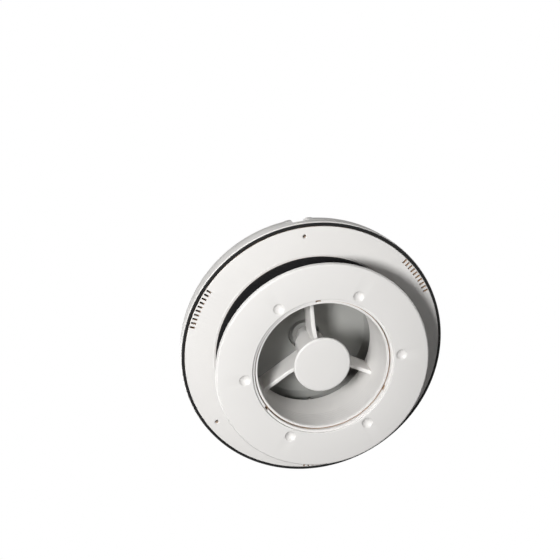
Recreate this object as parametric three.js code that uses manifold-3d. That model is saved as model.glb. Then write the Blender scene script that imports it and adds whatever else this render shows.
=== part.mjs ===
// Round roof and ceiling ventilator: a domed rain cap over a closable air duct.
// Millimetres, +Z up. The origin is on the duct axis at the roof surface,
// which is the underside of the roof gasket. The dome is above, the room below.
import * as THREE from 'three';
import { mergeVertices } from 'three/addons/utils/BufferGeometryUtils.js';
import Module from 'manifold-3d';

const wasm = await Module();
wasm.setup();

// ---------------------------------------------------------------- dimensions
const FIT = 0.3;                  // clearance between pieces that touch
const ROUND = 48;                 // facets around the large pieces
const ROUND_SMALL = 20;           // facets around hub, spindle and sleeve
const ROUND_PIN = 10;             // facets around screws and pins
const THIRDS = [0, 120, 240];     // screw, rib and pilot hole directions
const BETWEEN = [60, 180, 300];   // drain slot and guide pin directions

const DOME = {
  radius: 118.2, bottom: 7.3, lipTop: 11, wall: 2.4,
  curveRadius: 117.5, curveBase: 14.5, curveHeight: 71.6,
};
const GRILLE = {
  radius: 64.9, seat: 62.5, edgeZ: 75.1, crown: 3, thick: 2,
  hub: 14, rings: 2, spokes: 24, bar: 4, blankFrom: 165, blankTo: 195,
};
const POCKET = { radius: 106, bore: 7.3, wall: 2, floorTop: 15, floorBottom: 12.8, reach: 126 };
const SCREW = {
  radius: 107, shank: 1.9, hole: 2.3, head: 4.6, headThick: 2.8,
  washer: 5.6, washerThick: 0.8, tip: 5, crossLength: 4.8, crossWidth: 1.2, boss: 5.5,
};
const FLANGE = { radius: 115, bottom: 4, top: 7, bore: 60, collar: 63, collarTop: 20 };
const DRAIN = { count: 10, pitch: 2, inner: 109.8, outer: 114.2, width: 1.4 };
const GASKET = { inner: 64, outer: 88 };
const RIM_SEAL = { inner: 115.3, outer: 117.5, bottom: 4.3, top: 7 };
const TUBE = { inner: 57, outer: 59.5, bottom: -29.5, top: 22, shoulder: 63, shoulderThick: 1.7 };
const KEY = { outer: 61.2, width: 4, bottom: -26, top: -2, play: 0.4 };
const VALVE_SEAL = { inner: 58.5, outer: 62.8, thick: 3 };
const SPIDER = {
  ribWidth: 4, ribBottom: -1.5, ribTop: 22, gusset: 13, hub: 13.3, hubBottom: -24, hubTop: 21,
  bore: 4.2, chamber: 10.9, chamberFloor: -4,
};
const KNOB = { radius: 25, bottom: -28.7, thick: 3, boss: 6.5, socket: 3.8, socketTop: -27 };
const SPINDLE = { radius: 3.5, bottom: -26.7, top: 38, groove: 2.6 };
const CLIP = { outer: 6.4, thick: 1 };
const SLEEVE = {
  guide: 10.6, bottom: 15, guideTop: 19, outer: 8.9, step: 30.5, stem: 7.2, neck: 6.2, top: 53.5, bore: 3.9,
};
const NUT = { outer: 7.2, bottom: 17, top: 29, bore: 3.9 };
const PLATE = {
  radius: 72, bottom: 44, thick: 2.2, skirt: 3.5, cup: 14, cupTop: 49, boss: 11, bossBottom: 43.3,
};
const PIN = { radius: 67.5, size: 2, bottom: 7.3, top: 60, hole: 2.6 };
const RING = {
  outer: 94, hole: 62.2, recess: 2, face: -33.7, back: -29.5, wall: 2.5,
  collarInner: 60.2, collarOuter: 63.2, collarTop: -15,
};
const DIMPLE = { radius: 69.3, mouth: 5, depth: 1.8, count: 6, first: 30 };

// ------------------------------------------------------------------- helpers
const radians = THREE.MathUtils.degToRad;

// A closed three.js geometry as a manifold solid, with its faces pointing out.
function solid(geometry) {
  const plain = geometry.index ? geometry.clone() : geometry;
  for (const name of Object.keys(plain.attributes)) {
    if (name !== 'position') plain.deleteAttribute(name);
  }
  const merged = mergeVertices(plain, 1e-3);
  const vertices = merged.attributes.position.array;
  const triangles = [];
  let volume = 0;
  for (let i = 0; i < merged.index.count; i += 3) {
    const [a, b, c] = [0, 1, 2].map((k) => merged.index.getX(i + k));
    if (a === b || b === c || c === a) continue;
    triangles.push([a, b, c]);
    const [p, q, r] = [a, b, c].map((k) => new THREE.Vector3().fromArray(vertices, 3 * k));
    volume += p.dot(q.cross(r));
  }
  const facing = volume > 0 ? triangles : triangles.map(([a, b, c]) => [a, c, b]);
  return new wasm.Manifold(new wasm.Mesh({
    numProp: 3,
    vertProperties: new Float32Array(vertices),
    triVerts: new Uint32Array(facing.flat()),
  }));
}

// A profile of [radius, height] points turned about the Z axis.
function turned(profile, facets) {
  const points = profile.map(([r, z]) => new THREE.Vector2(r, z));
  points.push(points[0].clone());
  const geometry = new THREE.LatheGeometry(points, facets);
  geometry.rotateX(Math.PI / 2);
  return solid(geometry);
}

// A ring with a rectangular section; inner 0 gives a solid disc.
function ring(inner, outer, bottom, top, facets) {
  return turned([[inner, bottom], [outer, bottom], [outer, top], [inner, top]], facets);
}

// A flat outline pushed up from one height to another.
function prism(shape, bottom, top) {
  const options = { depth: top - bottom, bevelEnabled: false, curveSegments: 4 };
  const geometry = new THREE.ExtrudeGeometry(shape, options);
  geometry.translate(0, 0, bottom);
  return solid(geometry);
}

// A block between two corners.
function block(x0, y0, z0, x1, y1, z1) {
  const geometry = new THREE.BoxGeometry(x1 - x0, y1 - y0, z1 - z0);
  geometry.translate((x0 + x1) / 2, (y0 + y1) / 2, (z0 + z1) / 2);
  return solid(geometry);
}

// A block centred on the axis, of a length along X and a width along Y.
function centredBlock(length, width, bottom, top) {
  return block(-length / 2, -width / 2, bottom, length / 2, width / 2, top);
}

// A round bar standing at a distance from the axis, along +X.
function post(distance, radius, bottom, top, facets) {
  return ring(0, radius, bottom, top, facets).translate([distance, 0, 0]);
}

const turn = (piece, degrees) => piece.rotate([0, 0, degrees]);
const copies = (piece, directions) => directions.map((degrees) => turn(piece, degrees));
const join = (pieces) => pieces.reduce((all, piece) => all.add(piece));
const cut = (piece, tools) => tools.reduce((left, tool) => left.subtract(tool), piece);

const vent = new THREE.Group();

function add(name, piece, look) {
  const mesh = piece.getMesh();
  const geometry = new THREE.BufferGeometry();
  geometry.setAttribute('position', new THREE.BufferAttribute(mesh.vertProperties, mesh.numProp));
  geometry.setIndex(new THREE.BufferAttribute(mesh.triVerts, 1));
  geometry.computeVertexNormals();
  const node = new THREE.Mesh(geometry, new THREE.MeshStandardMaterial(look));
  node.name = name;
  vent.add(node);
}

// ----------------------------------------------------------------- materials
const WHITE = { color: 0xf0efed, roughness: 0.42, metalness: 0 };
const GREY = { color: 0x8b8c8a, roughness: 0.45, metalness: 0 };
const FOAM = { color: 0x0b0b0c, roughness: 0.95, metalness: 0 };
const RUBBER = { color: 0x101011, roughness: 0.8, metalness: 0 };
const STEEL = { color: 0xb9b9b7, roughness: 0.3, metalness: 1 };
const BRASS = { color: 0xc9a24d, roughness: 0.3, metalness: 1 };

// ---------------------------------------------------------------- dome shell
// Points of the dome's quarter ellipse, moved in by an offset, from its foot to a radius.
function domeCurve(offset, endRadius, steps) {
  const a = DOME.curveRadius - offset;
  const b = DOME.curveHeight - offset;
  const end = Math.acos(endRadius / a);
  return Array.from({ length: steps + 1 }, (_, i) => {
    const t = (end * i) / steps;
    return [a * Math.cos(t), DOME.curveBase + b * Math.sin(t)];
  });
}

// The screw pocket's plan: a round end that opens outwards through the dome wall.
function pocketPlan(halfWidth) {
  const plan = new THREE.Shape();
  plan.moveTo(POCKET.reach, -halfWidth);
  plan.lineTo(POCKET.reach, halfWidth);
  plan.lineTo(POCKET.radius, halfWidth);
  plan.absarc(POCKET.radius, 0, halfWidth, Math.PI / 2, (3 * Math.PI) / 2, false);
  plan.closePath();
  return plan;
}

function domeShell() {
  const outside = [
    [DOME.radius, DOME.bottom], [DOME.radius, DOME.lipTop],
    ...domeCurve(0, 69, 6),
    [66.5, GRILLE.edgeZ - 0.1], [GRILLE.radius + FIT, GRILLE.edgeZ - 0.3],
  ];
  const seatZ = GRILLE.edgeZ - GRILLE.thick - FIT;
  const skirt = DOME.radius - DOME.wall;
  const inside = [
    ...domeCurve(DOME.wall, 68, 5).reverse(),
    [skirt, DOME.lipTop], [skirt, DOME.bottom],
  ];
  const shell = turned([
    ...outside,
    [GRILLE.radius + FIT, seatZ], [GRILLE.seat, seatZ], [GRILLE.seat, seatZ - 2],
    ...inside,
  ], ROUND);
  const filled = turned([[0, DOME.bottom], ...outside, [0, GRILLE.edgeZ]], ROUND);
  const well = prism(pocketPlan(POCKET.bore + POCKET.wall), POCKET.floorBottom, GRILLE.edgeZ).intersect(filled);
  const room = prism(pocketPlan(POCKET.bore), POCKET.floorTop, GRILLE.edgeZ + 10);
  const hole = post(SCREW.radius, SCREW.hole, 0, 20, ROUND_PIN);
  return cut(join([shell, ...copies(well, THIRDS)]), [...copies(room, THIRDS), ...copies(hole, THIRDS)]);
}
add('dome_shell', domeShell(), WHITE);

// -------------------------------------------------------------- dome grille
// Spoked disc in the crown; each bay between spokes is cut by concentric slots,
// except the two blank bays on the -X side, which are open only at the edge.
function grilleBay(inner, outer, from, to) {
  const half = GRILLE.bar / 2;
  const corner = (r, degrees, side) => {
    return new THREE.Vector2(r, side * half).rotateAround(new THREE.Vector2(), radians(degrees));
  };
  const bay = new THREE.Shape([
    corner(inner, from, 1), corner(outer, from, 1), corner(outer, to, -1), corner(inner, to, -1),
  ]);
  return prism(bay, GRILLE.edgeZ - 10, GRILLE.edgeZ + 10);
}

function domeGrille() {
  const slope = (z) => [[GRILLE.radius, z], [36, z + GRILLE.crown * 0.7], [0, z + GRILLE.crown]];
  const disc = turned([...slope(GRILLE.edgeZ), ...slope(GRILLE.edgeZ - GRILLE.thick).reverse()], ROUND);
  const step = (GRILLE.seat - GRILLE.hub) / GRILLE.rings;
  const bays = [];
  for (let spoke = 0; spoke < GRILLE.spokes; spoke += 1) {
    const from = (360 / GRILLE.spokes) * spoke;
    const blank = from >= GRILLE.blankFrom && from < GRILLE.blankTo;
    for (let row = 0; row < GRILLE.rings; row += 1) {
      const outer = GRILLE.hub + step * (row + 1);
      const inner = blank ? outer - GRILLE.bar : outer - step + GRILLE.bar;
      const open = !blank || row === GRILLE.rings - 1;
      if (open) bays.push(grilleBay(inner, outer, from, from + 360 / GRILLE.spokes));
    }
  }
  return cut(disc, bays);
}
add('dome_grille', domeGrille(), WHITE);

// ------------------------------------------------------------- dome screws
function domeScrew() {
  const bottom = POCKET.floorTop + FIT + SCREW.washerThick + FIT;
  const head = turned([
    [0, bottom], [SCREW.head, bottom], [SCREW.head, bottom + 1.2],
    [SCREW.head - 1, bottom + SCREW.headThick - 0.4],
    [2, bottom + SCREW.headThick], [0, bottom + SCREW.headThick],
  ], 18);
  const shank = turned([
    [0, SCREW.tip], [1, SCREW.tip + 0.6], [SCREW.shank, SCREW.tip + 2],
    [SCREW.shank, bottom + 0.5], [0, bottom + 0.5],
  ], ROUND_PIN);
  const arm = centredBlock(SCREW.crossLength, SCREW.crossWidth, bottom + 1.3, bottom + 5);
  const cross = arm.add(turn(arm, 90));
  return head.add(shank).subtract(cross).translate([SCREW.radius, 0, 0]);
}

function domeWasher() {
  const bottom = POCKET.floorTop + FIT;
  const washer = ring(SCREW.hole, SCREW.washer, bottom, bottom + SCREW.washerThick, 18);
  return washer.translate([SCREW.radius, 0, 0]);
}

THIRDS.forEach((degrees, i) => {
  add(`dome_screw_${i + 1}`, turn(domeScrew(), degrees), STEEL);
  add(`dome_washer_${i + 1}`, turn(domeWasher(), degrees), STEEL);
});

// -------------------------------------------------------------- base plate
// Flange on the roof, with the collar that holds the duct, three screw bosses
// and three groups of drain slots at its rim.
function basePlate() {
  const plate = turned([
    [FLANGE.bore, FLANGE.bottom], [FLANGE.radius - 1, FLANGE.bottom],
    [FLANGE.radius, FLANGE.bottom + 1], [FLANGE.radius, FLANGE.top],
    [FLANGE.collar, FLANGE.top], [FLANGE.collar, FLANGE.collarTop], [FLANGE.bore, FLANGE.collarTop],
  ], ROUND);
  const boss = post(SCREW.radius, SCREW.boss, FLANGE.top - 1, POCKET.floorBottom - FIT, ROUND_PIN);
  const pilot = post(SCREW.radius, SCREW.hole, 0, POCKET.floorTop, ROUND_PIN);
  const slots = BETWEEN.flatMap((middle) => Array.from({ length: DRAIN.count }, (_, i) => {
    const offset = (i - (DRAIN.count - 1) / 2) * DRAIN.pitch;
    return turn(block(DRAIN.inner, -DRAIN.width / 2, 0, DRAIN.outer, DRAIN.width / 2, 10), middle + offset);
  }));
  return cut(join([plate, ...copies(boss, THIRDS)]), [...copies(pilot, THIRDS), ...slots]);
}
add('base_plate', basePlate(), WHITE);
add('roof_gasket', ring(GASKET.inner, GASKET.outer, 0, FLANGE.bottom - FIT, ROUND), FOAM);
add('rim_seal', ring(RIM_SEAL.inner, RIM_SEAL.outer, RIM_SEAL.bottom, RIM_SEAL.top, ROUND), RUBBER);

// ---------------------------------------------------------------- duct tube
// Air duct hung in the base collar by its shoulder, with three outside keys
// that stop the ceiling ring from turning.
function ductTube() {
  const shoulderBottom = TUBE.top - TUBE.shoulderThick;
  const tube = turned([
    [TUBE.inner, TUBE.bottom + 1], [TUBE.inner + 0.8, TUBE.bottom], [TUBE.outer - 0.4, TUBE.bottom],
    [TUBE.outer, TUBE.bottom + 0.6], [TUBE.outer, shoulderBottom], [TUBE.shoulder, shoulderBottom],
    [TUBE.shoulder, TUBE.top], [TUBE.inner, TUBE.top],
  ], ROUND);
  const key = block(TUBE.outer - 1, -KEY.width / 2, KEY.bottom, KEY.outer, KEY.width / 2, KEY.top);
  return join([tube, ...copies(key, THIRDS)]);
}
add('duct_tube', ductTube(), WHITE);

const sealBottom = TUBE.top + FIT;
const sealTop = sealBottom + VALVE_SEAL.thick;
add('valve_seal', ring(VALVE_SEAL.inner, VALVE_SEAL.outer, sealBottom, sealTop, ROUND), FOAM);

// ------------------------------------------------------------------- spider
// Three deep ribs set well inside the duct, and the hub that reaches down to the
// knob. The hub carries the spindle and guides the valve sleeve in its bore.
function spider() {
  const half = SPIDER.ribWidth / 2;
  const side = new THREE.Shape([
    [SPIDER.hub - 1, SPIDER.ribBottom - SPIDER.gusset], [SPIDER.hub + 1, SPIDER.ribBottom - SPIDER.gusset],
    [SPIDER.hub + 5, SPIDER.ribBottom - 5], [SPIDER.hub + 11, SPIDER.ribBottom - 0.7],
    [SPIDER.hub + 18, SPIDER.ribBottom], [TUBE.inner - FIT - 0.3, SPIDER.ribBottom],
    [TUBE.inner - FIT - 0.3, SPIDER.ribTop], [SPIDER.hub - 1, SPIDER.ribTop],
  ].map(([x, y]) => new THREE.Vector2(x, y)));
  const rib = prism(side, -half, half).rotate([90, 0, 0]);
  const hub = ring(0, SPIDER.hub, SPIDER.hubBottom, SPIDER.hubTop, ROUND_SMALL + 8);
  const bore = ring(0, SPIDER.bore, -60, 20, ROUND_SMALL);
  const chamber = ring(0, SPIDER.chamber, SPIDER.chamberFloor, SPIDER.ribTop + 1, ROUND_SMALL + 8);
  return cut(join([hub, ...copies(rib, THIRDS)]), [bore, chamber]);
}
add('spider', spider(), WHITE);

// ---------------------------------------------------- knob, spindle and clip
const knobTop = KNOB.bottom + KNOB.thick;
const socketTop = SPIDER.hubBottom - FIT;
add('knob', turned([
  [0, KNOB.bottom], [KNOB.radius - 0.8, KNOB.bottom], [KNOB.radius, KNOB.bottom + 0.8],
  [KNOB.radius, knobTop], [KNOB.boss, knobTop], [KNOB.boss, socketTop],
  [KNOB.socket, socketTop], [KNOB.socket, KNOB.socketTop], [0, KNOB.socketTop],
], 36), WHITE);

const clipBottom = SPIDER.chamberFloor + FIT;
const grooveBottom = clipBottom - 0.2;
const grooveTop = clipBottom + CLIP.thick + 0.2;
add('spindle', turned([
  [0, SPINDLE.bottom], [SPINDLE.radius, SPINDLE.bottom], [SPINDLE.radius, grooveBottom],
  [SPINDLE.groove, grooveBottom], [SPINDLE.groove, grooveTop], [SPINDLE.radius, grooveTop],
  [SPINDLE.radius, SPINDLE.top - 1], [SPINDLE.radius - 1, SPINDLE.top], [0, SPINDLE.top],
], ROUND_SMALL), STEEL);

function spindleClip() {
  const disc = ring(SPINDLE.groove + FIT, CLIP.outer, clipBottom, clipBottom + CLIP.thick, ROUND_SMALL);
  const mouth = SPINDLE.groove;
  return disc.subtract(block(0, -mouth, -20, 20, mouth, 20));
}
add('spindle_clip', spindleClip(), STEEL);

// ------------------------------------------ valve plate, sleeve and its nut
// Grey disc that closes the duct. A cup at its centre holds a boss that sits on
// the white sleeve.
function valvePlate() {
  const plateTop = PLATE.bottom + PLATE.thick;
  const plate = turned([
    [SLEEVE.neck + FIT, PLATE.bossBottom], [PLATE.boss, PLATE.bossBottom], [PLATE.boss, PLATE.cupTop],
    [PLATE.cup, PLATE.cupTop], [PLATE.cup, PLATE.bottom],
    [PLATE.radius - 1.6, PLATE.bottom], [PLATE.radius - 1.6, PLATE.bottom - PLATE.skirt],
    [PLATE.radius, PLATE.bottom - PLATE.skirt], [PLATE.radius, plateTop],
    [PLATE.cup + 2, plateTop], [PLATE.cup + 2, PLATE.cupTop + 2], [SLEEVE.neck + FIT, PLATE.cupTop + 2],
  ], ROUND);
  const hole = post(PIN.radius, PIN.hole, 30, 60, ROUND_PIN);
  return cut(plate, copies(hole, BETWEEN));
}
add('valve_plate', valvePlate(), GREY);

// The sleeve's foot slides in the hub's bore. It is wide below to take the nut,
// and its shoulder carries the plate.
const nutRoom = NUT.outer + FIT;
const shoulder = PLATE.bossBottom - FIT;
add('valve_sleeve', turned([
  [nutRoom, SLEEVE.bottom], [SLEEVE.guide, SLEEVE.bottom], [SLEEVE.guide, SLEEVE.guideTop],
  [SLEEVE.outer, SLEEVE.guideTop], [SLEEVE.outer, SLEEVE.step], [SLEEVE.stem, SLEEVE.step],
  [SLEEVE.stem, shoulder], [SLEEVE.neck, shoulder], [SLEEVE.neck, SLEEVE.top],
  [SLEEVE.bore, SLEEVE.top], [SLEEVE.bore, NUT.top + FIT], [nutRoom, NUT.top + FIT],
], ROUND_SMALL), WHITE);

function sleeveNut() {
  const hexagon = ring(0, NUT.outer, NUT.bottom, NUT.top, 6);
  return hexagon.subtract(ring(0, NUT.bore, NUT.bottom - 1, NUT.top + 1, ROUND_SMALL));
}
add('sleeve_nut', sleeveNut(), BRASS);

const cupRoof = PLATE.cupTop + 2;
const sleeveClip = ring(SLEEVE.neck + FIT, SLEEVE.neck + 4, cupRoof + FIT, cupRoof + 1.2, ROUND_SMALL);
add('sleeve_clip', sleeveClip, STEEL);

// --------------------------------------------------------------- guide pins
BETWEEN.forEach((degrees, i) => {
  const pin = turned([
    [0, PIN.bottom], [PIN.size, PIN.bottom], [PIN.size, PIN.top - 1], [PIN.size - 0.8, PIN.top], [0, PIN.top],
  ], ROUND_PIN).translate([PIN.radius, 0, 0]);
  add(`guide_pin_${i + 1}`, turn(pin, degrees), STEEL);
});

// ------------------------------------------------------------- ceiling ring
// Cover ring that slides up the duct to the ceiling, with six round dimples.
function ceilingRing() {
  const skirt = RING.outer - RING.wall;
  const plateTop = RING.face + RING.wall;
  const body = turned([
    [RING.hole, RING.face], [RING.outer - 2, RING.face], [RING.outer, RING.face + 2],
    [RING.outer, RING.back], [skirt, RING.back], [skirt, plateTop],
    [RING.collarOuter, plateTop], [RING.collarOuter, RING.collarTop],
    [RING.collarInner, RING.collarTop], [RING.collarInner, RING.face + RING.recess],
    [RING.hole, RING.face + RING.recess],
  ], ROUND);
  const ball = (DIMPLE.mouth ** 2 + DIMPLE.depth ** 2) / (2 * DIMPLE.depth);
  const bowl = solid(new THREE.SphereGeometry(ball, 12, 8)).rotate([90, 0, 0])
    .translate([DIMPLE.radius, 0, RING.face + DIMPLE.depth - ball]);
  const directions = Array.from({ length: DIMPLE.count }, (_, i) => DIMPLE.first + (i * 360) / DIMPLE.count);
  const halfKeyway = KEY.width / 2 + KEY.play;
  const keyway = block(55, -halfKeyway, RING.face + RING.recess - 1, KEY.outer + KEY.play, halfKeyway, 0);
  return cut(body, [...copies(bowl, directions), ...copies(keyway, THIRDS)]);
}
add('ceiling_ring', ceilingRing(), WHITE);

export default vent;
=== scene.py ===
"""Looks for the round roof and ceiling ventilator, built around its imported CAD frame.

Sizes below are in millimetres, in the frame's own axes: +Z up towards the dome, with the
duct on the Z axis and the roof surface at z = 0. The camera stands on the room side.
"""

import math

import bmesh
import bpy
from mathutils import Matrix, Vector


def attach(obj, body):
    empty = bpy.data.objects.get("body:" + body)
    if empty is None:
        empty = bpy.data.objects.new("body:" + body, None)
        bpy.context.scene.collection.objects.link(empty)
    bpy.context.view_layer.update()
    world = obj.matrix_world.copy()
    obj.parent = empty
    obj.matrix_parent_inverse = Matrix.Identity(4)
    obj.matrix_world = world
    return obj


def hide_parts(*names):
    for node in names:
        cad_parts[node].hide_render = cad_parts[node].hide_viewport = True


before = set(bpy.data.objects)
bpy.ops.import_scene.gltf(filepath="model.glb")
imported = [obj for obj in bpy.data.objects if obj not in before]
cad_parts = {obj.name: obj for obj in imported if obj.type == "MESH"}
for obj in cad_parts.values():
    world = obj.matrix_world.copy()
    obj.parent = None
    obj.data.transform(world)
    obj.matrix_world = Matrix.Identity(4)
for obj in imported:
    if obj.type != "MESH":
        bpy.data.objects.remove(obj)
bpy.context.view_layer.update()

MM = 0.001
ROUND = 192  # segments around the large pieces
ROUND_SMALL = 64  # segments around the hub, spindle and screws
THIRDS = (0, 120, 240)  # screw, rib and pilot hole directions
BETWEEN = (60, 180, 300)  # drain slot and guide pin directions
SHARP = math.radians(34)

# ------------------------------------------------------------------ mesh tools


def rounded(profile, steps=5):
    """A closed profile of (r, z) or (r, z, rounding) corners, each rounding drawn as a smooth bend."""
    points = []
    count = len(profile)
    for i, corner in enumerate(profile):
        here = Vector(corner[:2])
        if len(corner) < 3:
            points.append(here)
            continue
        before = Vector(profile[i - 1][:2]) - here
        after = Vector(profile[(i + 1) % count][:2]) - here
        reach = min(corner[2], 0.48 * before.length, 0.48 * after.length)
        start, end = here + before.normalized() * reach, here + after.normalized() * reach
        for k in range(steps + 1):
            t = k / steps
            points.append(start * (1 - t) ** 2 + here * 2 * t * (1 - t) + end * t * t)
    return [(p.x, p.y) for p in points]


def piece_from(bm, name):
    """A new object from a bmesh in millimetres, with its faces pointing out."""
    bmesh.ops.remove_doubles(bm, verts=bm.verts, dist=1e-4)
    loose = [e for e in bm.edges if not e.link_faces]
    bmesh.ops.delete(bm, geom=loose, context="EDGES")
    bmesh.ops.recalc_face_normals(bm, faces=bm.faces)
    mesh = bpy.data.meshes.new(name)
    bm.transform(Matrix.Scale(MM, 4))
    bm.to_mesh(mesh)
    bm.free()
    made = bpy.data.objects.new(name, mesh)
    bpy.context.scene.collection.objects.link(made)
    return made


def add_turned(bm, profile, segments, angles=None, move=(0, 0, 0)):
    """Adds a closed profile turned about the Z axis, then moved."""
    points = rounded(profile)
    turns = angles or [360 * k / segments for k in range(segments)]
    rings = []
    for degrees in turns:
        c, s = math.cos(math.radians(degrees)), math.sin(math.radians(degrees))
        rings.append([bm.verts.new((r * c + move[0], r * s + move[1], z + move[2])) for r, z in points])
    for j, ring in enumerate(rings):
        following = rings[(j + 1) % len(rings)]
        for i in range(len(points)):
            k = (i + 1) % len(points)
            if points[i][0] < 1e-6 and points[k][0] < 1e-6:
                continue
            bm.faces.new((ring[i], following[i], following[k], ring[k]))
    return rings


def turned(name, profile, segments=ROUND, angles=None):
    bm = bmesh.new()
    add_turned(bm, profile, segments, angles)
    return piece_from(bm, name)


def add_prism(bm, outline, bottom, top, degrees=0):
    """Adds a flat outline pushed up from one height to another, then turned about Z."""
    c, s = math.cos(math.radians(degrees)), math.sin(math.radians(degrees))
    low = [bm.verts.new((x * c - y * s, x * s + y * c, bottom)) for x, y in outline]
    high = [bm.verts.new((x * c - y * s, x * s + y * c, top)) for x, y in outline]
    bm.faces.new(low[::-1])
    bm.faces.new(high)
    for i in range(len(outline)):
        k = (i + 1) % len(outline)
        bm.faces.new((low[i], low[k], high[k], high[i]))


def box_outline(x0, y0, x1, y1):
    return [(x0, y0), (x1, y0), (x1, y1), (x0, y1)]


def bake(obj):
    """Applies the object's modifiers."""
    depsgraph = bpy.context.evaluated_depsgraph_get()
    mesh = bpy.data.meshes.new_from_object(obj.evaluated_get(depsgraph))
    obj.modifiers.clear()
    old, obj.data = obj.data, mesh
    bpy.data.meshes.remove(old)
    return obj


def combine(obj, bm, operation="DIFFERENCE"):
    """Cuts, joins or keeps the shared part of obj with the solids in bm."""
    tool = piece_from(bm, obj.name + "_tool")
    modifier = obj.modifiers.new("combine", "BOOLEAN")
    modifier.object, modifier.operation, modifier.solver = tool, operation, "EXACT"
    bake(obj)
    bpy.data.objects.remove(tool)
    return obj


def soften(obj, width, segments=2, angle=40):
    """Rounds the edges that turn by more than an angle in degrees, by a small width."""
    modifier = obj.modifiers.new("soften", "BEVEL")
    modifier.width, modifier.segments = width * MM, segments
    modifier.limit_method, modifier.angle_limit = "ANGLE", math.radians(angle)
    modifier.miter_outer = "MITER_ARC"
    return bake(obj)


def around(degrees, radius):
    """The x and y of a point at a radius, in a direction about Z."""
    angle = math.radians(degrees)
    return radius * math.cos(angle), radius * math.sin(angle)


def swing(obj, degrees, radius):
    """Moves a piece made on the axis out by a radius, in a direction about Z."""
    out = Matrix.Translation((radius * MM, 0, 0))
    obj.data.transform(Matrix.Rotation(math.radians(degrees), 4, "Z") @ out)
    return obj


def place(obj, look, body, slot, *nodes):
    """Gives a finished piece its look and body, and hides the CAD nodes it stands for; its slot argument is
    not used.
    """
    mesh = obj.data
    mesh.polygons.foreach_set("use_smooth", [True] * len(mesh.polygons))
    mesh.set_sharp_from_angle(angle=SHARP)
    mesh.materials.clear()
    mesh.materials.append(look)
    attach(obj, body)
    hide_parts(*nodes)
    return obj


# ------------------------------------------------------------------- materials


class Look:
    """A procedural material built around one Principled shader."""

    def __init__(self, name, colour, roughness, metallic=0.0, specular=0.5):
        self.material = bpy.data.materials.new(name)
        self.material.use_nodes = True
        self.tree = self.material.node_tree
        self.shader = self.tree.nodes["Principled BSDF"]
        self.colour = colour
        self.set("Metallic", metallic)
        self.set("Roughness", roughness)
        self.set("Specular IOR Level", specular)
        self.place = self.node("ShaderNodeTexCoord").outputs["Object"]

    def set(self, socket, value):
        self.shader.inputs[socket].default_value = value

    def node(self, kind, **settings):
        made = self.tree.nodes.new(kind)
        for name, value in settings.items():
            setattr(made, name, value)
        return made

    def join(self, output, socket):
        self.tree.links.new(output, socket)

    def noise(self, scale, detail=2.0, roughness=0.5, stretch=None):
        made = self.node("ShaderNodeTexNoise")
        made.inputs["Scale"].default_value = scale
        made.inputs["Detail"].default_value = detail
        made.inputs["Roughness"].default_value = roughness
        place = self.place
        if stretch:
            mapping = self.node("ShaderNodeMapping")
            mapping.inputs["Scale"].default_value = stretch
            self.join(place, mapping.inputs["Vector"])
            place = mapping.outputs["Vector"]
        self.join(place, made.inputs["Vector"])
        return made.outputs["Fac"]

    def ramp(self, fac, low, high, start=0.0, end=1.0):
        made = self.node("ShaderNodeMapRange", clamp=True)
        for socket, value in (("From Min", start), ("From Max", end), ("To Min", low), ("To Max", high)):
            made.inputs[socket].default_value = value
        self.join(fac, made.inputs["Value"])
        return made.outputs["Result"]

    def mix(self, fac, first, second):
        made = self.node("ShaderNodeMix", data_type="RGBA")
        for socket, value in ((6, first), (7, second)):
            if isinstance(value, bpy.types.NodeSocket):
                self.join(value, made.inputs[socket])
            else:
                made.inputs[socket].default_value = (*value, 1)
        self.join(fac, made.inputs[0])
        return made.outputs[2]

    def bump(self, height, strength, distance):
        made = self.node("ShaderNodeBump")
        made.inputs["Strength"].default_value = strength
        made.inputs["Distance"].default_value = distance
        self.join(height, made.inputs["Height"])
        self.join(made.outputs["Normal"], self.shader.inputs["Normal"])

    def crevice(self, reach):
        """1 in the open, towards 0 inside gaps and corners; a mask for painting shade into colour."""
        made = self.node("ShaderNodeAmbientOcclusion", samples=8)
        made.inputs["Distance"].default_value = reach
        return made.outputs["AO"]


def shade(colour, factor):
    return tuple(min(1.0, c * factor) for c in colour)


def plastic(name, colour, roughness, gap_shade_tint, grain=1400):
    """Moulded plastic: faint flow marks, fine grain, and painted shade: gaps and corners take a tint standing
    in for shade and bounced light.
    """
    look = Look(name, colour, roughness)
    flow = look.noise(14, 3, 0.55)
    base = look.mix(flow, shade(colour, 0.975), shade(colour, 1.02))
    cloudy = look.ramp(look.noise(90, 2), 0.0, 0.35, 0.45, 0.75)
    base = look.mix(cloudy, base, shade(colour, 0.985))
    # Painted shade and bounced light: the occlusion mask tints gaps and corners with the last colour given.
    gap = look.ramp(look.crevice(0.0035), 1.0, 0.0, 0.12, 0.5)
    base = look.mix(gap, base, gap_shade_tint)
    look.join(base, look.shader.inputs["Base Color"])
    rough = look.ramp(look.noise(60, 4), roughness - 0.05, roughness + 0.07, 0.3, 0.7)
    look.join(rough, look.shader.inputs["Roughness"])
    look.bump(look.noise(grain, 2, 0.6), 0.12, 0.00012)
    return look.material


def foam(name, colour, roughness, cells, depth):
    """Closed-cell foam or rubber: open pores over a dark body, the pores painted darker as shade in their
    hollows.
    """
    look = Look(name, colour, roughness, specular=0.2)
    cell = look.node("ShaderNodeTexVoronoi", feature="F1")
    cell.inputs["Scale"].default_value = cells
    look.join(look.place, cell.inputs["Vector"])
    pores = look.ramp(cell.outputs["Distance"], 0.0, 1.0, 0.1, 0.6)
    # Painted shade: the pores' hollows are painted darker than the body around them.
    look.join(look.mix(pores, shade(colour, 0.5), shade(colour, 1.4)), look.shader.inputs["Base Color"])
    rough = look.ramp(look.noise(cells * 0.3, 3), roughness - 0.08, roughness + 0.05)
    look.join(rough, look.shader.inputs["Roughness"])
    look.bump(pores, 0.5, depth)
    return look.material


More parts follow.
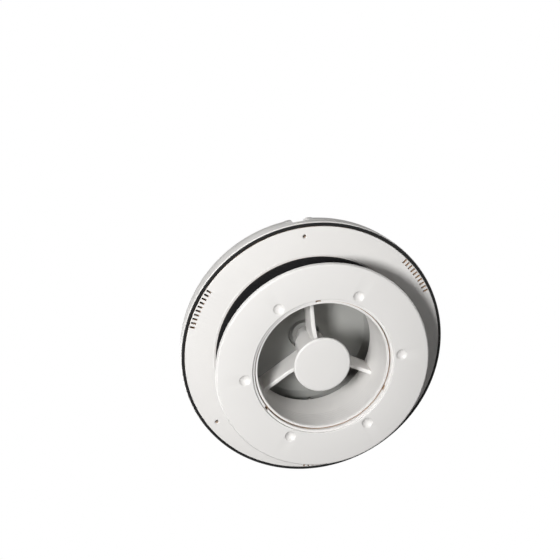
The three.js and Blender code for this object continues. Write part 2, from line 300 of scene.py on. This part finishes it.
def metal(name, colour, roughness, brush):
    """Turned metal: fine brushed lines, dull patches and painted shade, much darker in corners."""
    look = Look(name, colour, roughness, metallic=1.0)
    patches = look.noise(220, 3)
    base = look.mix(patches, shade(colour, 0.82), shade(colour, 1.08))
    # Painted shade: corners and gaps are painted much darker.
    gap = look.ramp(look.crevice(0.0012), 0.8, 0.0, 0.1, 0.6)
    base = look.mix(gap, base, shade(colour, 0.25))
    look.join(base, look.shader.inputs["Base Color"])
    lines = look.noise(brush, 2, 0.6, stretch=(1, 1, 9))
    look.join(look.ramp(lines, roughness - 0.08, roughness + 0.14, 0.3, 0.7), look.shader.inputs["Roughness"])
    look.bump(lines, 0.15, 0.00005)
    return look.material


# The last colour of each plastic is painted shade, tinting its gaps and corners.
WHITE = plastic("white_plastic", (0.80, 0.785, 0.765), 0.38, (0.46, 0.25, 0.10))
GREY = plastic("grey_plastic", (0.315, 0.315, 0.30), 0.42, (0.06, 0.045, 0.035))
FOAM = foam("black_foam", (0.006, 0.006, 0.0065), 0.93, 1100, 0.0003)
RUBBER = foam("black_rubber", (0.008, 0.008, 0.008), 0.75, 2400, 0.00008)
STEEL = metal("steel", (0.62, 0.60, 0.57), 0.3, 900)
BRASS = metal("brass", (0.72, 0.52, 0.22), 0.32, 900)

# ------------------------------------------------------------------ dome shell

RIM = 118.2  # outer radius at the rim lip
RIM_BOTTOM = 7.3
LIP_TOP = 11.0
WALL = 2.4
CURVE_RADIUS, CURVE_BASE, CURVE_HEIGHT = 117.5, 14.5, 71.6
CROWN_EDGE = 74.0  # height of the grille's edge
SEAM = 64.95  # radius of the seam between shell and grille
POCKET_END, POCKET_HALF, POCKET_WALL = 106, 7.3, 2.0
POCKET_FLOOR, POCKET_UNDER = 15.0, 12.8
SCREW_RADIUS = 107
SCREW_HOLE = 2.2
TRACK_HALF, TRACK_EDGE, TRACK_RISE = 5.9, 0.35, 0.5  # degrees, degrees, millimetres


def dome_curve(offset, end_radius, steps):
    """Points of the dome's quarter ellipse from its foot up to a radius, moved in by an offset."""
    a, b = CURVE_RADIUS - offset, CURVE_HEIGHT - offset
    end = math.acos(end_radius / a)
    turns = [end * i / steps for i in range(steps + 1)]
    return [(a * math.cos(t), CURVE_BASE + b * math.sin(t)) for t in turns]


def smooth(value, start, end):
    t = min(1.0, max(0.0, (value - start) / (end - start)))
    return t * t * (3 - 2 * t)


def track_rise(degrees, radius):
    """How far a screw's raised track stands out of the dome."""
    away = min(abs((degrees - d + 180) % 360 - 180) for d in THIRDS)
    across = 1 - smooth(away, TRACK_HALF - TRACK_EDGE, TRACK_HALF + TRACK_EDGE)
    along = smooth(radius, 69.5, 71.5) * (1 - smooth(radius, 117.2, 117.5))
    return TRACK_RISE * across * along


def dome_angles():
    """Every degree, with closer steps at the tracks' edges."""
    fine = [d + side * (TRACK_HALF + step * TRACK_EDGE) for d in THIRDS for side in (-1, 1)
            for step in (-1.0, -0.5, 0.0, 0.5, 1.0)]
    coarse = [k for k in range(360) if min(abs((k - f + 180) % 360 - 180) for f in fine) > 0.35]
    return sorted([f % 360 for f in fine] + coarse)


def pocket_outline(half):
    arc = [math.radians(90 + 180 * k / 24) for k in range(25)]
    return [(130, -half), (130, half)] + [
        (POCKET_END + half * math.cos(a), half * math.sin(a)) for a in arc]


def make_dome_shell():
    outside = [
        (RIM, RIM_BOTTOM, 1.1), (RIM, LIP_TOP - 0.6, 0.5), (CURVE_RADIUS - 0.1, LIP_TOP + 0.7, 0.9),
        *dome_curve(0, 73, 40),
        (69.4, 72.35, 1.6), (66.9, CROWN_EDGE - 0.05, 2.4), (SEAM, CROWN_EDGE - 0.2, 0.35),
    ]
    shoulder = CROWN_EDGE - 2.6
    inside = [
        (SEAM, shoulder), (SEAM - 0.5, shoulder), (SEAM - 0.5, shoulder - 2),
        *dome_curve(WALL, 70, 24)[::-1],
        (RIM - WALL, LIP_TOP), (RIM - WALL, RIM_BOTTOM, 0.4),
    ]
    bm = bmesh.new()
    angles = dome_angles()
    rings = add_turned(bm, outside + inside, 0, angles)
    outer_count = len(rounded(outside + inside)) - len(inside) - 5
    for degrees, ring in zip(angles, rings):
        for vert in ring[:outer_count]:
            radius = math.hypot(vert.co.x, vert.co.y)
            if vert.co.z < LIP_TOP + 1.2:
                continue
            rise = track_rise(degrees, radius) * smooth(vert.co.z, LIP_TOP + 1.2, LIP_TOP + 4)
            a, b = CURVE_RADIUS ** 2, CURVE_HEIGHT ** 2
            normal = Vector((vert.co.x / a, vert.co.y / a, (vert.co.z - CURVE_BASE) / b)).normalized()
            vert.co += normal * rise
    shell = piece_from(bm, "dome_shell_fine")

    filled = bmesh.new()
    add_turned(filled, [(0.0, RIM_BOTTOM + 0.5), *rounded(outside)[1:], (0.0, CROWN_EDGE)], 180)
    wells = bmesh.new()
    for degrees in THIRDS:
        add_prism(wells, pocket_outline(POCKET_HALF + POCKET_WALL), POCKET_UNDER, 72, degrees)
    well = piece_from(wells, "wells")
    combine(well, filled, "INTERSECT")
    joined = bmesh.new()
    joined.from_mesh(well.data)
    bmesh.ops.transform(joined, matrix=Matrix.Scale(1 / MM, 4), verts=joined.verts)
    bpy.data.objects.remove(well)
    combine(shell, joined, "UNION")

    rooms = bmesh.new()
    for degrees in THIRDS:
        add_prism(rooms, pocket_outline(POCKET_HALF), POCKET_FLOOR, 90, degrees)
    combine(shell, rooms)
    holes = bmesh.new()
    for degrees in THIRDS:
        move = (*around(degrees, SCREW_RADIUS), 0)
        add_turned(holes, [(0, 0), (SCREW_HOLE, 0), (SCREW_HOLE, 20), (0, 20)], 32, move=move)
    combine(shell, holes)
    return shell


dome = make_dome_shell()
soften(dome, 0.55, 3, 42)
place(dome, WHITE, "housing", "white_plastic", "dome_shell")

# ---------------------------------------------------------------- dome grille

GRILLE_RADIUS = 64.85
CROWN = 3.0
GRILLE_THICK = 2.0
SPOKES = 24
SPOKE_HALF = 1.15
SLOT_HALF = 0.76
SLOT_ROWS = 14
OUTER_SLOT, SLOT_PITCH = 63.3, 3.34
HUB_SLOT = (13.8, 18.3)
HUB_INNER = 5.0
DENT, DENT_HALF, DENT_DEPTH = 9.0, 0.3, 0.12  # the shallow ring pressed into the hub
BLANK = (165, 195)  # degrees without slots, except at the edge and around the hub
BAY_STEPS = 8


def crown_height(radius):
    return CROWN_EDGE + CROWN * (1 - (radius / GRILLE_RADIUS) ** 2)


def make_grille():
    slots = [(OUTER_SLOT - SLOT_PITCH * k - SLOT_HALF, OUTER_SLOT - SLOT_PITCH * k + SLOT_HALF)
             for k in range(SLOT_ROWS)] + [HUB_SLOT]
    hub_edges = {HUB_INNER, DENT - DENT_HALF, DENT, DENT + DENT_HALF}
    edges = sorted({r for slot in slots for r in slot} | {GRILLE_RADIUS} | hub_edges)
    bm = bmesh.new()
    bay = 360 / SPOKES
    stations = [(spoke, k) for spoke in range(SPOKES) for k in range(BAY_STEPS + 1)]
    grid = []
    for radius in edges:
        half = math.degrees(math.asin(min(0.9, SPOKE_HALF / radius)))
        half = min(half, 5.4 if radius < HUB_SLOT[0] else 4.6)
        height = crown_height(radius) - (DENT_DEPTH if abs(radius - DENT) < 0.01 else 0.0)
        ring = []
        for spoke, k in stations:
            degrees = spoke * bay + half + (bay - 2 * half) * k / BAY_STEPS
            ring.append(bm.verts.new((*around(degrees, radius), height)))
        grid.append(ring)
    centre = bm.verts.new((0, 0, crown_height(0)))
    count = len(stations)
    for j in range(count):
        bm.faces.new((centre, grid[0][j], grid[0][(j + 1) % count]))
    slot_set = {(round(a, 3), round(b, 3)) for a, b in slots}
    for i in range(len(edges) - 1):
        low, high = edges[i], edges[i + 1]
        is_slot = (round(low, 3), round(high, 3)) in slot_set
        everywhere = low > OUTER_SLOT - 1 or high <= HUB_SLOT[1] + 0.01
        for j, (spoke, k) in enumerate(stations):
            blank = BLANK[0] <= spoke * bay < BLANK[1]
            if is_slot and k < BAY_STEPS and (everywhere or not blank):
                continue
            n = (j + 1) % count
            bm.faces.new((grid[i][j], grid[i + 1][j], grid[i + 1][n], grid[i][n]))
    bmesh.ops.recalc_face_normals(bm, faces=bm.faces)
    if sum(f.normal.z for f in bm.faces) < 0:
        bmesh.ops.reverse_faces(bm, faces=bm.faces)
    grown = bmesh.ops.extrude_face_region(bm, geom=bm.faces[:])
    moved = [v for v in grown["geom"] if isinstance(v, bmesh.types.BMVert)]
    bmesh.ops.translate(bm, vec=(0, 0, -GRILLE_THICK), verts=moved)
    return piece_from(bm, "dome_grille_fine")


grille = make_grille()
soften(grille, 0.22, 2, 50)
place(grille, WHITE, "housing", "white_plastic", "dome_grille")

# ------------------------------------------------------------ screws, washers

HEAD = 4.6
WASHER = 5.6
HEAD_BOTTOM = POCKET_FLOOR + 1.4


def make_screw(name, degrees):
    bm = bmesh.new()
    add_turned(bm, [
        (0, 4.9), (0.25, 4.9), (1.0, 7.2), (1.3, 8.4), (1.3, HEAD_BOTTOM), (HEAD - 0.5, HEAD_BOTTOM),
        (HEAD, HEAD_BOTTOM + 0.5, 0.35), (HEAD - 0.25, HEAD_BOTTOM + 1.5, 0.9),
        (2.9, HEAD_BOTTOM + 2.65, 1.2), (0, HEAD_BOTTOM + 2.8),
    ], ROUND_SMALL)
    screw = piece_from(bm, name)
    low, high = HEAD_BOTTOM + 0.9, HEAD_BOTTOM + 4
    points = [(-2.45, 0.52, high), (2.45, 0.52, high), (2.45, -0.52, high), (-2.45, -0.52, high),
              (-1.1, 0.4, low), (1.1, 0.4, low), (1.1, -0.4, low), (-1.1, -0.4, low)]
    quads = ((0, 1, 2, 3), (7, 6, 5, 4), (0, 4, 5, 1), (1, 5, 6, 2), (2, 6, 7, 3), (3, 7, 4, 0))
    for turn in (20, 110):
        c, s = math.cos(math.radians(turn)), math.sin(math.radians(turn))
        cross = bmesh.new()
        corners = [cross.verts.new((x * c - y * s, x * s + y * c, z)) for x, y, z in points]
        for quad in quads:
            cross.faces.new([corners[q] for q in quad])
        combine(screw, cross)
    soften(screw, 0.12, 2, 38)
    return swing(screw, degrees, SCREW_RADIUS)


def make_washer(name, degrees):
    washer = turned(name, [
        (2.3, POCKET_FLOOR + 0.25, 0.15), (WASHER, POCKET_FLOOR + 0.25, 0.3),
        (WASHER, POCKET_FLOOR + 1.1, 0.3), (2.3, POCKET_FLOOR + 1.25, 0.15),
    ], ROUND_SMALL)
    return swing(washer, degrees, SCREW_RADIUS)


for i, degrees in enumerate(THIRDS, 1):
    place(make_screw(f"dome_screw_{i}_fine", degrees), STEEL, "housing", "steel", f"dome_screw_{i}")
    place(make_washer(f"dome_washer_{i}_fine", degrees), STEEL, "housing", "steel", f"dome_washer_{i}")

# ------------------------------------------------------------------ base plate

FLANGE, FLANGE_BOTTOM, FLANGE_TOP = 115.0, 4.0, 7.0
BORE, COLLAR, COLLAR_TOP = 60.0, 63.0, 20.0
PILOT = 1.35
DRAIN_COUNT, DRAIN_PITCH, DRAIN_INNER, DRAIN_OUTER, DRAIN_HALF = 10, 2.0, 109.7, 114.4, 0.85


def make_base_plate():
    plate = turned("base_plate_fine", [
        (BORE, FLANGE_BOTTOM, 0.5), (88.8, FLANGE_BOTTOM, 0.1), (89.0, FLANGE_BOTTOM - 0.15, 0.1),
        (90.0, FLANGE_BOTTOM - 0.15, 0.1), (90.2, FLANGE_BOTTOM, 0.2), (FLANGE, FLANGE_BOTTOM, 0.7),
        (FLANGE, FLANGE_TOP, 0.4), (COLLAR, FLANGE_TOP, 0.8), (COLLAR, COLLAR_TOP, 0.5),
        (BORE, COLLAR_TOP, 0.5),
    ])
    bosses = bmesh.new()
    pilots = bmesh.new()
    for degrees in THIRDS:
        move = (*around(degrees, SCREW_RADIUS), 0)
        add_turned(bosses, [(0, 6), (5.5, 6), (5.3, 12.5, 0.4), (0, 12.5)], 48, move=move)
        add_turned(pilots, [
            (0, 0), (PILOT + 0.9, 0), (PILOT + 0.9, FLANGE_BOTTOM), (PILOT, FLANGE_BOTTOM + 0.9),
            (PILOT, 20), (0, 20),
        ], 40, move=move)
    combine(plate, bosses, "UNION")
    combine(plate, pilots)
    slots = bmesh.new()
    for middle in BETWEEN:
        for i in range(DRAIN_COUNT):
            offset = (i - (DRAIN_COUNT - 1) / 2) * DRAIN_PITCH
            outline = box_outline(DRAIN_INNER, -DRAIN_HALF, DRAIN_OUTER, DRAIN_HALF)
            add_prism(slots, outline, 0, 10, middle + offset)
    combine(plate, slots)
    return soften(plate, 0.12, 2, 45)


place(make_base_plate(), WHITE, "housing", "white_plastic", "base_plate")

place(turned("roof_gasket_fine", [(64, 0, 0.5), (88, 0, 0.8), (88, 3.75, 0.3), (64, 3.75, 0.3)]),
      FOAM, "housing", "black_foam", "roof_gasket")
# A thin lip, in the visual model only, reaches in over the drain slots as painted shade: a black sheet that
# makes them look black from below, where only the dome's dark inside shows.
place(turned("rim_seal_fine", [
    (115.25, 4.3, 0.4), (117.5, 4.3, 0.6), (117.5, 7.25, 0.2), (108.8, 7.25), (108.8, 7.05), (115.25, 7.05),
]), RUBBER, "housing", "black_rubber", "rim_seal")

# ------------------------------------------------------------------- duct tube

TUBE_INNER, TUBE_OUTER, MOUTH, TUBE_TOP = 57.0, 59.6, -29.5, 22.0
DUCT_LINES, DUCT_LINE_PITCH, DUCT_LINE_STEP = 7, 3.1, 0.12  # fine steps around the duct's inside
SHOULDER = 63.0
KEY_HALF = 2.0


def make_duct_tube():
    inner = [(TUBE_INNER - 0.9, TUBE_TOP)]
    for k in range(DUCT_LINES, 0, -1):
        z = MOUTH + 3.2 + DUCT_LINE_PITCH * (k - 1)
        r = TUBE_INNER - DUCT_LINE_STEP * k
        inner += [(r, z + 0.5), (r + DUCT_LINE_STEP, z, 0.15)]
    inner += [(TUBE_INNER, MOUTH + 1.6, 0.4), (TUBE_INNER + 0.35, MOUTH + 0.9, 0.3),
              (TUBE_INNER + 0.45, MOUTH, 0.35)]
    outer = [(TUBE_OUTER, MOUTH, 0.8), (TUBE_OUTER, TUBE_TOP - 1.7, 0.3),
             (SHOULDER, TUBE_TOP - 1.7, 0.3), (SHOULDER, TUBE_TOP, 0.4)]
    tube = turned("duct_tube_fine", inner + outer)
    keys = bmesh.new()
    for degrees in THIRDS:
        add_prism(keys, box_outline(TUBE_OUTER - 1.2, -KEY_HALF, 61.2, KEY_HALF), -26, -2, degrees)
    combine(tube, keys, "UNION")
    return tube


place(make_duct_tube(), WHITE, "housing", "white_plastic", "duct_tube")
place(turned("valve_seal_fine", [(58.5, 22.2, 0.4), (62.8, 22.2, 0.4), (62.6, 25.3, 1.2), (58.7, 25.3, 1.2)]),
      FOAM, "housing", "black_foam", "valve_seal")

# ---------------------------------------------------------------------- spider

RIB_HALF, RIB_TAPER, RIB_BOTTOM, RIB_TOP = 2.05, 0.25, -1.5, 22.0
HUB, HUB_BOTTOM, HUB_TOP, HUB_BORE = 13.3, -24.0, 21.0, 4.2
CHAMBER, CHAMBER_FLOOR = 10.9, -4.0
KNOB, KNOB_FACE, KNOB_BACK = 25.0, -28.7, -25.7


def add_rib(bm, degrees):
    """One deep rib: a strip of stations from the hub to the duct wall, with a rounded lower edge."""
    c, s = math.cos(math.radians(degrees)), math.sin(math.radians(degrees))
    drops = [(12.3, 13.0), (14.3, 12.6), (16.0, 9.0), (18.3, 5.6), (21.5, 2.8), (25.5, 1.0), (31.0, 0.0),
             (TUBE_INNER - 3.5, 0.0), (TUBE_INNER - 1.4, 0.35), (TUBE_INNER + 0.25, 1.3)]
    thin = RIB_HALF - RIB_TAPER
    rings = []
    for r, drop in drops:
        bottom = RIB_BOTTOM - drop
        section = rounded([
            (-thin, bottom, 0.8), (thin, bottom, 0.8), (RIB_HALF, RIB_TOP, 0.5), (-RIB_HALF, RIB_TOP, 0.5),
        ])
        rings.append([bm.verts.new((r * c - y * s, r * s + y * c, z)) for y, z in section])
    bm.faces.new(rings[0])
    bm.faces.new(rings[-1][::-1])
    for first, second in zip(rings, rings[1:]):
        for i in range(len(first)):
            k = (i + 1) % len(first)
            bm.faces.new((first[i], second[i], second[k], first[k]))


def make_spider():
    bm = bmesh.new()
    add_turned(bm, [(0, HUB_BOTTOM), (HUB - 0.8, HUB_BOTTOM, 0.6), (HUB, HUB_TOP, 0.7), (0, HUB_TOP)], 96)
    spider = piece_from(bm, "spider_fine")
    for degrees in THIRDS:
        rib = bmesh.new()
        add_rib(rib, degrees)
        combine(spider, rib, "UNION")
    room = bmesh.new()
    add_turned(room, [
        (0, -60), (HUB_BORE, -60), (HUB_BORE, CHAMBER_FLOOR), (CHAMBER, CHAMBER_FLOOR),
        (CHAMBER, 40), (0, 40),
    ], 96)
    combine(spider, room)
    return soften(spider, 0.25, 2, 50)


place(make_spider(), WHITE, "housing", "white_plastic", "spider")

# ----------------------------------------------------- knob, spindle and clip

place(turned("knob_fine", [
    (0, KNOB_FACE - 0.05), (KNOB * 0.55, KNOB_FACE, 9), (KNOB - 1.0, KNOB_FACE + 0.35, 1.5),
    (KNOB, KNOB_FACE + 1.3, 0.6), (KNOB, KNOB_BACK, 0.5), (6.5, KNOB_BACK, 0.5),
    (6.5, HUB_BOTTOM - 0.3, 0.3), (3.8, HUB_BOTTOM - 0.3),
    (3.8, -26.9), (0, -26.9),
], 128), WHITE, "knob_set", "white_plastic", "knob")

THREAD_FROM, THREAD_TO, THREAD_PITCH = 6.0, 37.0, 3.0


def make_spindle():
    profile = [(0, -26.7), (3.5, -26.7, 0.3), (3.5, -3.9), (2.6, -3.9), (2.6, -2.5), (3.5, -2.5, 0.2)]
    z = THREAD_FROM
    while z < THREAD_TO - THREAD_PITCH:
        profile += [(3.5, z, 0.2), (3.0, z + 0.5, 0.2), (3.0, z + 1.1, 0.2), (3.5, z + 1.6, 0.2)]
        z += THREAD_PITCH
    profile += [(3.5, 37.0), (2.5, 38.0), (0, 38.0)]
    return turned("spindle_fine", profile, ROUND_SMALL)


place(make_spindle(), STEEL, "knob_set", "steel", "spindle")


def make_clip(name, inner, outer, bottom, top, mouth):
    clip = turned(name, [
        (inner, bottom, 0.15), (outer, bottom, 0.2), (outer, top, 0.2), (inner, top, 0.15),
    ], ROUND_SMALL)
    gap = bmesh.new()
    add_prism(gap, box_outline(0, -mouth, outer + 5, mouth), bottom - 5, top + 5)
    combine(clip, gap)
    return soften(clip, 0.12, 2, 50)


spindle_clip = make_clip("spindle_clip_fine", 2.85, 6.4, -3.7, -2.7, 2.6)
place(spindle_clip, STEEL, "knob_set", "steel", "spindle_clip")

# ----------------------------------------------- valve plate, sleeve and its nut

PLATE, PLATE_FACE, PLATE_SKIRT = 72.0, 44.0, 40.5
RECESS, BOSS, BOSS_FACE, ROOF = 14.4, 11.0, 43.3, 49.2
STEM, NECK = 7.1, 6.2
PIN_RADIUS, PIN_HOLE = 67.5, 2.6


def make_valve_plate():
    plate = turned("valve_plate_fine", [
        (NECK + 0.3, BOSS_FACE, 0.3), (BOSS, BOSS_FACE, 0.6), (BOSS, ROOF, 0.5), (RECESS - 0.6, ROOF, 0.6),
        (RECESS, PLATE_FACE, 0.5), (56.0, PLATE_FACE), (56.6, PLATE_FACE - 0.35, 0.2),
        (64.0, PLATE_FACE - 0.35, 0.2), (64.6, PLATE_FACE), (PLATE - 1.6, PLATE_FACE, 0.6),
        (PLATE - 1.6, PLATE_SKIRT, 0.5), (PLATE, PLATE_SKIRT, 0.5), (PLATE, PLATE_FACE + 2.2, 0.8),
        (RECESS + 2, PLATE_FACE + 2.2, 1), (RECESS + 2, ROOF + 1.7, 0.6), (NECK + 0.3, ROOF + 1.7, 0.3),
    ])
    holes = bmesh.new()
    for degrees in BETWEEN:
        move = (*around(degrees, PIN_RADIUS), 0)
        add_turned(holes, [(0, 30), (PIN_HOLE, 30), (PIN_HOLE, 60), (0, 60)], 32, move=move)
    return combine(plate, holes)


place(make_valve_plate(), GREY, "valve", "grey_plastic", "valve_plate")

place(turned("valve_sleeve_fine", [
    (7.5, 15.2, 0.3), (10.5, 15.2, 0.6), (10.5, 19.0, 0.6), (8.9, 19.2, 0.4), (8.9, 30.5, 1.0),
    (STEM, 31.2, 0.5), (STEM, BOSS_FACE - 0.3, 0.3), (NECK, BOSS_FACE - 0.3), (NECK, 53.5, 0.5),
    (3.9, 53.5, 0.3),
    (3.9, 29.3), (7.5, 29.3),
], 96), WHITE, "valve", "white_plastic", "valve_sleeve")


def make_nut():
    nut = turned("sleeve_nut_fine", [(0, 17.4), (7.2, 17.4), (7.2, 29), (0, 29)], 6)
    bore = bmesh.new()
    add_turned(bore, [(0, 10), (3.9, 10), (3.9, 40), (0, 40)], ROUND_SMALL)
    combine(nut, bore)
    return soften(nut, 0.3, 2, 40)


place(make_nut(), BRASS, "valve", "brass", "sleeve_nut")
sleeve_clip = make_clip("sleeve_clip_fine", NECK + 0.1, 10.0, ROOF + 2.0, ROOF + 2.9, 5.4)
place(sleeve_clip, STEEL, "valve", "steel", "sleeve_clip")

# ------------------------------------------------------------------ guide pins

for i, degrees in enumerate(BETWEEN, 1):
    pin = turned(f"guide_pin_{i}_fine", [(0, 7.1), (2, 7.1), (2, 59.6, 0.5), (1.2, 60, 0.3), (0, 60)], 40)
    place(swing(pin, degrees, PIN_RADIUS), STEEL, "housing", "steel", f"guide_pin_{i}")

# ---------------------------------------------------------------- ceiling ring

RING, RING_HOLE, RING_FACE, RING_BACK, RING_WALL = 94.0, 62.2, -33.7, -29.5, 2.5
RING_RECESS = 1.9
RING_COLLAR_INNER, RING_COLLAR_OUTER, RING_COLLAR_TOP = 60.2, 63.2, -15
BOWL_RADIUS, BOWL_MOUTH, BOWL_DEPTH = 69.3, 4.9, 2.3


def make_ceiling_ring():
    ring = turned("ceiling_ring_fine", [
        (RING_HOLE, RING_FACE, 1.3), (RING - 0.1, RING_FACE, 2.2), (RING, RING_BACK, 0.3),
        (RING - RING_WALL, RING_BACK, 0.3), (RING - RING_WALL, RING_FACE + RING_WALL, 0.6),
        (RING_COLLAR_OUTER, RING_FACE + RING_WALL, 0.6), (RING_COLLAR_OUTER, RING_COLLAR_TOP, 0.5),
        (RING_COLLAR_INNER, RING_COLLAR_TOP, 0.5), (RING_COLLAR_INNER, RING_FACE + RING_RECESS, 0.3),
        (RING_HOLE, RING_FACE + RING_RECESS, 0.3),
    ])
    ball = (BOWL_MOUTH ** 2 + BOWL_DEPTH ** 2) / (2 * BOWL_DEPTH)
    bowls = bmesh.new()
    for k in range(6):
        centre = (*around(30 + 60 * k, BOWL_RADIUS), RING_FACE + BOWL_DEPTH - ball)
        bmesh.ops.create_uvsphere(
            bowls, u_segments=48, v_segments=32, radius=ball, matrix=Matrix.Translation(centre))
    combine(ring, bowls)
    keyways = bmesh.new()
    for degrees in THIRDS:
        outline = box_outline(58, -KEY_HALF - 0.4, 61.6, KEY_HALF + 0.4)
        add_prism(keyways, outline, RING_FACE + RING_RECESS - 1, 0, degrees)
    combine(ring, keyways)
    return soften(ring, 0.5, 3, 30)


place(make_ceiling_ring(), WHITE, "cover_ring", "white_plastic", "ceiling_ring")

# ---------------------------------------------------------------------- camera

FOCAL, FRAME_PX, SENSOR = 1300.0, 560.0, 36.0
AIM_PX, AIM_DEPTH = (314.0, 350.5), 1148.4  # where the flange's centre shows, and how far away it is
LEAN, LEAN_TOWARDS, SPIN = math.radians(23.42), math.radians(-58.69), math.radians(97)


def camera_axes():
    """The frame's axes as seen by the camera, with x right, y down and z forward."""
    lean_x, lean_y = math.cos(LEAN_TOWARDS), -math.sin(LEAN_TOWARDS)
    down = Vector((math.sin(LEAN) * lean_x, math.sin(LEAN) * lean_y, -math.cos(LEAN)))
    major = Vector((-math.sin(LEAN_TOWARDS), -math.cos(LEAN_TOWARDS), 0))
    minor = down.cross(major)
    turn = SPIN - (LEAN_TOWARDS + math.pi / 2)
    x_axis = major * math.cos(turn) + minor * math.sin(turn)
    y_axis = major * math.sin(turn) - minor * math.cos(turn)
    return Matrix((x_axis, y_axis, -down))


TO_FRAME = camera_axes()
aim = Vector((AIM_PX[0] - FRAME_PX / 2, AIM_PX[1] - FRAME_PX / 2, FOCAL)) * (AIM_DEPTH / FOCAL)
camera_place = (Vector((0, 0, FLANGE_BOTTOM)) - TO_FRAME @ aim) * MM

camera_data = bpy.data.cameras.new("camera")
camera_data.sensor_width = SENSOR
camera_data.lens = FOCAL / FRAME_PX * SENSOR
camera_data.clip_start, camera_data.clip_end = 0.01, 100
camera = bpy.data.objects.new("camera", camera_data)
right, up, back = (TO_FRAME @ Vector(v) for v in ((1, 0, 0), (0, -1, 0), (0, 0, -1)))
camera.matrix_world = Matrix.Translation(camera_place) @ Matrix((right, up, back)).transposed().to_4x4()
bpy.context.scene.collection.objects.link(camera)
bpy.context.scene.camera = camera

# ------------------------------------------------------------ floor and lights

FLOOR_Z = -1.3  # metres; below both the vent and the camera, which looks up at the vent


def make_floor():
    bm = bmesh.new()
    bmesh.ops.create_circle(bm, cap_ends=True, segments=96, radius=60)
    mesh = bpy.data.meshes.new("floor")
    bm.to_mesh(mesh)
    bm.free()
    floor = bpy.data.objects.new("floor", mesh)
    floor.location = (0, 0, FLOOR_Z)
    bpy.context.scene.collection.objects.link(floor)
    look = Look("floor_paint", (0.86, 0.86, 0.86), 0.9)
    paint = look.mix(look.noise(3, 2), (0.85, 0.85, 0.85), (0.88, 0.88, 0.88))
    look.join(paint, look.shader.inputs["Base Color"])
    look.set("Emission Color", (1, 1, 1, 1))
    look.set("Emission Strength", 0.72)
    mesh.materials.append(look.material)
    floor.visible_diffuse = False


def add_light(name, position, target, size, power):
    """A soft white disc of light, in metres and watts, turned towards its target and not seen itself."""
    data = bpy.data.lights.new(name, "AREA")
    data.shape, data.size, data.energy = "DISK", size, power
    light = bpy.data.objects.new(name, data)
    light.location = position
    light.rotation_mode = "QUATERNION"
    light.rotation_quaternion = (Vector(target) - Vector(position)).to_track_quat("-Z", "Y")
    light.visible_camera = False
    bpy.context.scene.collection.objects.link(light)


def seen_from_camera(x, y, z):
    """A direction given as right, down and forward for the camera, in the frame's axes."""
    return TO_FRAME @ Vector((x, y, z)).normalized()


make_floor()
add_light("room_key", (0.39, -0.53, -0.90), (0, 0, 0), 0.24, 12.6)
add_light("room_front", seen_from_camera(-0.2, -0.1, -0.97) * 1.25, (0, 0, 0), 0.5, 0.35)
add_light("sky_key", (-1.1, -1.3, 1.9), (0, 0, 0.04), 1.0, 42)
add_light("sky_fill", (1.6, -0.6, 1.2), (0, 0, 0.04), 1.4, 16)
add_light("sky_back", (0.2, 1.8, 1.3), (0, 0, 0.04), 1.4, 18)

world = bpy.data.worlds.new("studio")
bpy.context.scene.world = world
world.use_nodes = True
nodes, links = world.node_tree.nodes, world.node_tree.links
ambient = nodes["Background"]
ambient.inputs["Color"].default_value = (1, 0.99, 0.98, 1)
ambient.inputs["Strength"].default_value = 0.05
backdrop = nodes.new("ShaderNodeBackground")
backdrop.inputs["Color"].default_value = (1, 1, 1, 1)
mixer = nodes.new("ShaderNodeMixShader")
seen = nodes.new("ShaderNodeLightPath")
links.new(seen.outputs["Is Camera Ray"], mixer.inputs["Fac"])
links.new(ambient.outputs["Background"], mixer.inputs[1])
links.new(backdrop.outputs["Background"], mixer.inputs[2])
links.new(mixer.outputs["Shader"], nodes["World Output"].inputs["Surface"])

bpy.context.scene.view_settings.view_transform = "Standard"
bpy.context.scene.view_settings.look = "None"
